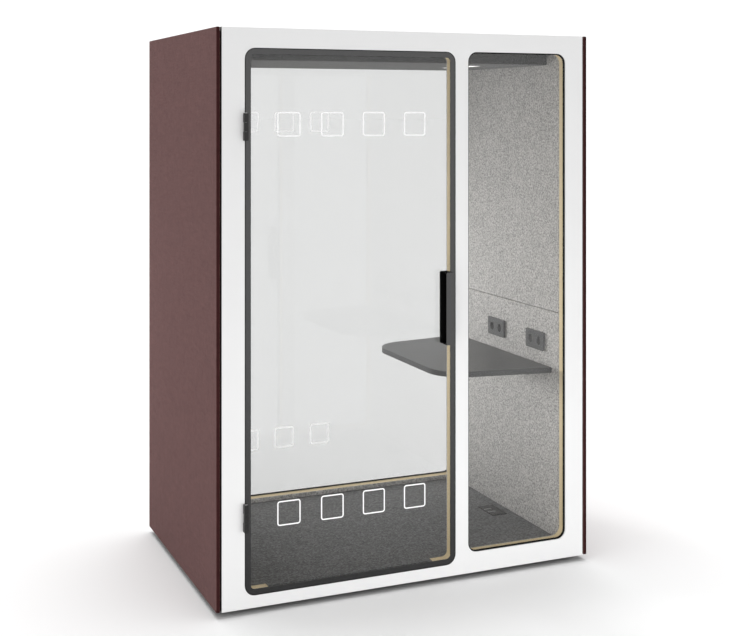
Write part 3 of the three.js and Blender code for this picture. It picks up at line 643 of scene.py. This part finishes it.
finishes = {
    "burgundy_fabric": plain_weave("burgundy_fabric", burgundy, sheen=0.12, gloss=0.15),
    "panel_binding": plain_weave("panel_binding", dark_red, sheen=0.0, gloss=0.02),
    "white_lacquer": white_lacquer(),
    "plywood": birch_veneer(),
    "plywood_layers": plywood_layers(),
    "wall_core": board("wall_core", dark=(0.20, 0.15, 0.11, 1), light=(0.32, 0.26, 0.20, 1)),
    "dark_board": board("dark_board", dark=grey(0.012), light=grey(0.035)),
    "grey_felt": pressed_felt("grey_felt", dark=0.32, middle=0.55, light=0.77, warmth=0.03),
    "raft_felt": pressed_felt("raft_felt", dark=0.12, middle=0.17, light=0.23),
    # Painted shade: a darker copy of the raft felt for the raft's upright faces
    "raft_edge_painted_shade": pressed_felt("raft_edge_painted_shade", dark=0.05, middle=0.08, light=0.11),
    "carpet": carpet(),
    "clear_glass": clear_glass(),
    # Painted light: both films glow, and the rear one glows strongly
    "front_film": glass_film("front_film", glow=0.10),
    "rear_film": glass_film("rear_film", glow=0.72),
    "black_rubber": coated(
        "black_rubber", tone=0.010, roughness=0.7, speckle=0.2, Specular_IOR_Level=0.2
    ),
    "dark_metal": coated(
        "dark_metal", tone=0.018, roughness=0.22, speckle=0.08, Specular_IOR_Level=1.0
    ),
    "black_metal": coated(
        "black_metal", tone=0.018, roughness=0.5, speckle=0.15, Specular_IOR_Level=0.4
    ),
    # Painted shade: near black for the handle's faces behind its front, where shade falls in its
    # channel
    "handle_painted_shade": coated(
        "handle_painted_shade", tone=0.004, roughness=0.9, speckle=0.3, Specular_IOR_Level=0.05
    ),
    "steel": steel(),
    "dark_laminate": matt_laminate("dark_laminate", dark=0.080, middle=0.102, light=0.130),
    # Painted shade: a darker copy of the worktop laminate for its edges
    "worktop_edge_painted_shade": matt_laminate("worktop_edge_painted_shade", dark=0.060, middle=0.075, light=0.095),
    "grey_plastic": moulded("grey_plastic", tone=0.135, speckle=0.05),
    "socket_cup": moulded("socket_cup", tone=0.24, speckle=0.05),
    "black_plastic": moulded("black_plastic", tone=0.014, speckle=0.15),
    "pale_grey_plastic": moulded("pale_grey_plastic", tone=0.42, speckle=0.04),
    "lamp_diffuser": lamp_diffuser(),
}


# Fitting pieces to the frame

def dress(piece, body, slot, *nodes):
    """Gives a piece its finish, the body that carries it and the nodes that it stands for."""
    piece.data.materials.clear()
    piece.data.materials.append(finishes[slot])
    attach(piece, body)
    if nodes:
        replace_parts(piece, *nodes)
    return piece


def stand_for(piece, node):
    """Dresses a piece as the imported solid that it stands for."""
    return dress(piece, carrier_of[node], slot_of[node], node)


def finish_faces(piece, finish, test):
    """Gives the faces that pass the test another finish."""
    piece.data.materials.append(finishes[finish])
    for face in piece.data.polygons:
        if test(face):
            face.material_index = len(piece.data.materials) - 1


def refinish(node):
    """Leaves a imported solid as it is, under its finish."""
    for material_slot in frame["nodes"][node].material_slots:
        material_slot.material = finishes[slot_of[node]]


# Choosing faces and edges

def looks_down(face):
    """Whether a face looks straight down."""
    return face.normal.z < -FACING


def is_upright(edge):
    """Whether an edge runs up and down."""
    first, second = edge.verts
    return abs(first.co.z - second.co.z) > MM


def turned_from(axis):
    """A test for faces that don't look along an axis."""
    return lambda face: abs(face.normal[axis]) < TURNED


def foremost(node):
    """A test for the faces at the very front of a solid."""
    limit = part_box(node)[0].y + FRONT_DEPTH
    return lambda face: face.normal.y < -TURNED and face.center.y < limit


def behind_front(node):
    """A test for all the other faces of a solid."""
    at_front = foremost(node)
    return lambda face: not at_front(face)


def outer_sides(node):
    """A test for the sides of a frame, in the shadow gaps next to the fabric panels, where they are
    painted dark as shade.
    """
    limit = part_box(node)[1].x - SIDE_DEPTH
    return lambda face: abs(face.normal.x) > TURNED and abs(face.center.x) > limit


def jamb(door):
    """A test for the faces of a frame that line the gap round a door."""
    room = Vector((1, 1, 1)) * JAMB_ROOM
    low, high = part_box(door)
    low -= room
    high += room

    def test(face):
        inside = low.x < face.center.x < high.x and low.z < face.center.z < high.z
        return inside and abs(face.normal.y) < TURNED

    return test


# Pieces

def make_side_panel(side):
    """A board wrapped in fabric: rounded edges, and faces that rise a little towards the middle."""
    node = f"{side}_outer_panel"
    low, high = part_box(node)
    panel = block(f"{side}_fabric_panel", low, high)
    with editing(panel):
        pick(panel, "FACE", lambda face: abs(face.normal.x) > FACING)
        bpy.ops.mesh.subdivide(number_cuts=PANEL_CUTS)
    middle = (low + high) / 2
    half = (high - low) / 2
    for vertex in panel.data.vertices:
        across = abs(vertex.co.y - middle.y) / half.y
        upward = abs(vertex.co.z - middle.z) / half.z
        sunk = max(across, upward) ** PANEL_CROWN_POWER * PANEL_CROWN
        vertex.co.x -= math.copysign(sunk, vertex.co.x - middle.x)
    round_edges(panel, PANEL_EDGE_RADIUS, segments=PANEL_EDGE_STEPS)
    stand_for(panel, node)
    finish_faces(panel, "panel_binding", turned_from(0))


def make_carpet():
    """Uneven loop pile over a flat back, with a hole for the floor box and a flap over the sill."""
    low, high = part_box("floor_panel")
    low.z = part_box("carpet")[0].z
    high.z += CARPET_THICKNESS
    size = high - low
    deselect_all()
    bpy.ops.mesh.primitive_grid_add(
        x_subdivisions=round(size.x / PILE_CELL),
        y_subdivisions=round(size.y / PILE_CELL),
        size=1,
        location=((low.x + high.x) / 2, (low.y + high.y) / 2, high.z),
    )
    bpy.context.active_object.scale = (size.x, size.y, 1)
    pile = placed("carpet_pile")
    tufts = bpy.data.textures.new("tufts", "CLOUDS")
    tufts.noise_scale = LOOP_SIZE
    modify(pile, "DISPLACE", texture=tufts, strength=PILE_HEIGHT, mid_level=1.0, texture_coords="LOCAL")
    with editing(pile):
        bpy.ops.mesh.select_all(action="SELECT")
        push((0, 0, low.z - high.z))
    for vertex in pile.data.vertices:
        if vertex.co.z < low.z + PILE_HEIGHT:
            vertex.co.z = low.z
    with editing(pile):
        bpy.ops.mesh.select_all(action="SELECT")
        bpy.ops.mesh.normals_make_consistent(inside=False)
        pick(pile, "FACE", looks_down)
        bpy.ops.mesh.dissolve_faces()
    tray_low, tray_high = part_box("floor_box_tray")
    room = Vector((1, 1, 1)) * FLOOR_BOX_ROOM
    cut_away(pile, block("floor_box_hole", tray_low - room, tray_high + room))
    covering = joined("carpet_pile", [pile, make_sill_flap(low.y, high.z - PILE_HEIGHT)])
    select_only(covering)
    bpy.ops.object.shade_smooth_by_angle(angle=PILE_ANGLE)
    stand_for(covering, "carpet")


def make_sill_flap(carpet_front, pile_bottom):
    """The strip of carpet that turns up and forwards over the door sill."""
    low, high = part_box("carpet")
    below_top = high.z - SAME_HEIGHT
    flap_x = [v.co.x for v in frame["nodes"]["carpet"].data.vertices if v.co.z > below_top]
    low.x = min(flap_x)
    high.x = max(flap_x)
    high.y = carpet_front + FLAP_THICKNESS
    flap = block("sill_flap", Vector((low.x, low.y, high.z - FLAP_THICKNESS)), high)
    with editing(flap):
        pick(flap, "FACE", looks_down)
        bpy.ops.mesh.subdivide(number_cuts=1)
        pick(flap, "VERT", lambda v: v.co.z < below_top and low.y + MM < v.co.y < high.y - MM)
        bpy.ops.transform.translate(value=(0, carpet_front - (low.y + high.y) / 2, 0))
        pick(flap, "FACE", lambda face: looks_down(face) and face.calc_center_median().y > carpet_front)
        push((0, 0, pile_bottom - high.z + FLAP_THICKNESS))
    bevel_edges(flap, FLAP_EDGE_RADIUS, segments=2)
    return flap


def make_worktop():
    """Worktop that narrows towards its rounded free edge."""
    low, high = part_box("table_top")
    size = high - low
    middle = (low + high) / 2
    top = block("worktop", low, high)
    narrowed = 1 - 2 * size.x * math.tan(WORKTOP_SLANT) / size.y
    setback = WORKTOP_CORNER_RADIUS * math.tan((math.pi / 2 - WORKTOP_SLANT) / 2)
    with editing(top):
        pick(top, "VERT", lambda vertex: vertex.co.x < middle.x)
        bpy.ops.transform.resize(value=(1, narrowed, 1), center_override=middle)
        pick(top, "EDGE", lambda edge: all(v.co.x < middle.x for v in edge.verts) and is_upright(edge))
        bpy.ops.mesh.bevel(
            offset=setback, segments=WORKTOP_CORNER_STEPS, affect="EDGES", clamp_overlap=False
        )
    round_edges(top, WORKTOP_EDGE_RADIUS)
    stand_for(top, "table_top")
    # Painted shade: the worktop's edges take the darker copy of its laminate
    finish_faces(top, "worktop_edge_painted_shade", turned_from(2))


def make_socket(end, outlet):
    """A round recessed outlet with two pin holes, and two sprung earth clips."""
    node = f"socket_insert_{end}_{outlet}"
    low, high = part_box(node)
    middle = (low + high) / 2
    sideways = (0, math.pi / 2, 0)
    radius = (high.y - low.y) / 2
    cup = rod(f"outlet_{end}_{outlet}", middle, radius, high.x - low.x, sideways, SOCKET_SIDES)
    with editing(cup):
        pick(cup, "FACE", lambda face: face.normal.x < -FACING)
        bpy.ops.mesh.inset(thickness=SOCKET_RIM)
        push((SOCKET_DEPTH, 0, 0))
    floor_x = low.x + SOCKET_DEPTH
    for side in (-1, 1):
        hole = Vector((floor_x, middle.y + side * PIN_HOLE_SPACING / 2, middle.z))
        drill = rod("pin_hole", hole, PIN_HOLE_RADIUS, 2 * PIN_HOLE_DEPTH, sideways, PIN_HOLE_SIDES)
        cut_away(cup, drill)
    round_edges(cup, SOCKET_EDGE_RADIUS, segments=2)
    stand_for(cup, node)
    cup.data.materials[0] = finishes["socket_cup"]
    reach = (high.z - low.z) / 2 - SOCKET_RIM - EARTH_CLIP_SIZE.z / 2
    clips = []
    for side in (-1, 1):
        centre = Vector((floor_x - EARTH_CLIP_SIZE.x / 2, middle.y, middle.z + side * reach))
        clip = block("clip", centre - EARTH_CLIP_SIZE / 2, centre + EARTH_CLIP_SIZE / 2)
        round_edges(clip, SOCKET_EDGE_RADIUS, segments=2)
        clips.append(clip)
    dress(joined(f"earth_clips_{end}_{outlet}", clips), "cabin", "steel")


def make_glass_marks(node, film):
    """Rounded square outlines on the front of a pane, in two rows."""
    name = f"{node}_marks"
    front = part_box(node)[0].y
    deselect_all()
    bpy.ops.mesh.primitive_plane_add(size=MARK_SIZE, rotation=(math.pi / 2, 0, 0))
    first = placed(name)
    with editing(first):
        bpy.ops.mesh.select_all(action="SELECT")
        bpy.ops.mesh.bevel(offset=MARK_CORNER, segments=MARK_CORNER_STEPS, affect="VERTICES")
        bpy.ops.mesh.select_all(action="SELECT")
        bpy.ops.mesh.inset(thickness=MARK_STROKE)
        bpy.ops.mesh.delete(type="FACE")
        bpy.ops.mesh.select_all(action="SELECT")
        push((0, -MARK_FILM, 0))
        bpy.ops.mesh.select_all(action="SELECT")
        bpy.ops.mesh.normals_make_consistent(inside=False)
    marks = []
    for z in MARK_HEIGHTS:
        for x in MARK_CENTRES:
            marks.append(copied(first, Vector((x, front - MARK_LIFT, z))))
    bpy.data.objects.remove(first)
    outlines = dress(joined(name, marks), carrier_of[node], "white_lacquer")
    outlines.data.materials[0] = finishes[film]


def make_fan_guard(side):
    """Concentric wire rings on crossed spokes, over a roof vent."""
    low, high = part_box(f"fan_{side}_housing")
    roof_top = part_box("roof_panel")[1].z
    middle = Vector(((low.x + high.x) / 2, (low.y + high.y) / 2, roof_top))
    wires = []
    for radius in GUARD_RADII:
        deselect_all()
        bpy.ops.mesh.primitive_torus_add(
            major_radius=radius,
            minor_radius=GUARD_WIRE,
            major_segments=GUARD_RING_SIDES,
            minor_segments=GUARD_WIRE_SIDES,
            location=middle + Vector((0, 0, GUARD_RING_LIFT)),
        )
        wires.append(placed("ring"))
    for i in range(GUARD_SPOKES):
        turn = (math.pi / 2, 0, math.pi * i / GUARD_SPOKES)
        centre = middle + Vector((0, 0, GUARD_SPOKE_LIFT))
        wires.append(rod("spoke", centre, GUARD_WIRE, 2 * GUARD_RADII[-1], turn, GUARD_WIRE_SIDES))
    guard = joined(f"fan_guard_{side}", wires)
    smooth(guard)
    dress(guard, "cabin", "black_metal")


def make_inlet_blades():
    """Three contact blades in the mains inlet."""
    low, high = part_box("mains_inlet")
    middle = (low + high) / 2
    blades = []
    for x, y in BLADE_PLACES:
        foot = Vector((middle.x + x, middle.y + y, low.z + INLET_FLOOR))
        half = Vector((BLADE_SIZE.x / 2, BLADE_SIZE.y / 2, 0))
        blade = block("blade", foot - half, foot + half + Vector((0, 0, BLADE_SIZE.z)))
        round_edges(blade, BLADE_EDGE_RADIUS, segments=2)
        blades.append(blade)
    dress(joined("mains_inlet_blades", blades), "cabin", "steel")


SECOND_FINISHES = [
    # Painted shade: the frames' sides in the shadow gaps take the dark board finish
    ("front_frame", "dark_board", outer_sides("front_frame")),
    ("front_frame", "black_rubber", jamb("door_frame")),
    ("rear_frame", "dark_board", outer_sides("rear_frame")),
    ("front_inner_frame", "plywood_layers", turned_from(1)),
    ("front_inner_frame", "black_rubber", foremost("front_inner_frame")),
    ("rear_inner_frame", "plywood_layers", turned_from(1)),
    ("floor_panel", "plywood_layers", turned_from(2)),
    # Painted shade on the raft's upright faces
    ("ceiling_raft", "raft_edge_painted_shade", turned_from(2)),
    # Painted shade on every face of the handle behind its front
    ("door_handle", "handle_painted_shade", behind_front("door_handle")),
]


def make_hard_pieces(made):
    """Every other solid: glass stays as it is, and the rest get rounded edges."""
    for node in frame["nodes"]:
        if node in made:
            continue
        if slot_of[node] == "clear_glass":
            refinish(node)
            continue
        radius = THIN_EDGE_RADIUS.get(node, EDGE_RADIUS[slot_of[node]])
        piece = stand_for(softened(node, radius), node)
        for owner, finish, test in SECOND_FINISHES:
            if owner == node:
                finish_faces(piece, finish, test)


# Stage, light and camera

def make_floor():
    """A plain pale floor that glossy finishes don't mirror."""
    deselect_all()
    bpy.ops.mesh.primitive_plane_add(size=FLOOR_SIZE)
    floor = placed("studio_floor")
    finish = new_finish("studio_floor")
    tone = finish.blend(finish.noise(scale=0.8, detail=2), grey(0.94), grey(0.96))
    floor.data.materials.append(finish.principled(tone, 0.9, Specular_IOR_Level=0.0))
    floor.visible_glossy = False
    floor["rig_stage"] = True
    return floor


def add_light(kind, name, power, place, target, settings):
    """A lamp aimed at a target, that neither the camera nor glossy finishes see."""
    deselect_all()
    bpy.ops.object.light_add(type=kind, location=place)
    lamp = bpy.context.active_object
    lamp.name = name
    lamp.rotation_euler = (Vector(target) - Vector(place)).to_track_quat("-Z", "Y").to_euler()
    lamp.data.energy = power
    for key, value in settings.items():
        setattr(lamp.data, key, value)
    lamp.visible_camera = False
    lamp.visible_glossy = False
    return lamp


def light_studio(floor):
    """A white room, a soft light from above, a low fill that misses the floor, and a rear fill."""
    room = Finish(bpy.data.worlds.new("studio"), "Generated")
    _, _, z = room.axes()
    seen = room.node("LightPath", output="Is Camera Ray")
    mirrored = seen.out("Is Glossy Ray")
    around = room.ramp(z + 1.0, [(DARK_BELOW, grey(DARK_SHADE)), (WHITE_ABOVE, grey(1.0))])
    strength = seen * (BACKDROP - ROOM_LIGHT) + mirrored * (1 - ROOM_LIGHT) + ROOM_LIGHT
    room.done(room.node("Background", inputs={"Color": around, "Strength": strength}), "OutputWorld")
    bpy.context.scene.world = room.owner
    add_light("SUN", "top_light", TOP_LIGHT, TOP_LIGHT_PLACE, TOP_LIGHT_TARGET, TOP_LIGHT_SHAPE)
    low = add_light("AREA", "low_fill", LOW_FILL, LOW_FILL_PLACE, LOW_FILL_TARGET, LOW_FILL_SHAPE)
    unlit = bpy.data.collections.new("not_lit_by_low_fill")
    unlit.objects.link(floor)
    unlit.collection_objects[0].light_linking.link_state = "EXCLUDE"
    low.light_linking.receiver_collection = unlit
    add_light("AREA", "rear_fill", REAR_FILL, REAR_FILL_PLACE, REAR_FILL_TARGET, REAR_FILL_SHAPE)


def place_camera():
    """A level camera with its lens shifted, so that uprights stay upright."""
    deselect_all()
    turn = (math.pi / 2, 0, math.radians(CAMERA_TURN))
    bpy.ops.object.camera_add(location=CAMERA_PLACE, rotation=turn)
    camera = bpy.context.active_object
    camera.data.sensor_fit = "HORIZONTAL"
    camera.data.sensor_width = SENSOR_WIDTH
    camera.data.lens = FOCAL_PIXELS / PHOTO_SIZE[0] * SENSOR_WIDTH
    camera.data.shift_x = 0.5 - CENTRE_COLUMN / PHOTO_SIZE[0]
    camera.data.shift_y = (HORIZON_ROW - PHOTO_SIZE[1] / 2) / PHOTO_SIZE[0]
    bpy.context.scene.camera = camera
    bpy.context.scene.view_settings.view_transform = "Standard"


place_camera()
light_studio(make_floor())

for side in ("left", "right"):
    make_side_panel(side)
    make_fan_guard(side)
make_carpet()
make_worktop()
for end in ("front", "rear"):
    for outlet in ("front", "rear"):
        make_socket(end, outlet)
make_glass_marks("door_glass", "front_film")
make_glass_marks("rear_glass", "rear_film")
make_inlet_blades()
modelled = {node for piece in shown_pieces() for node in piece.get("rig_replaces", [])}
make_hard_pieces(modelled)
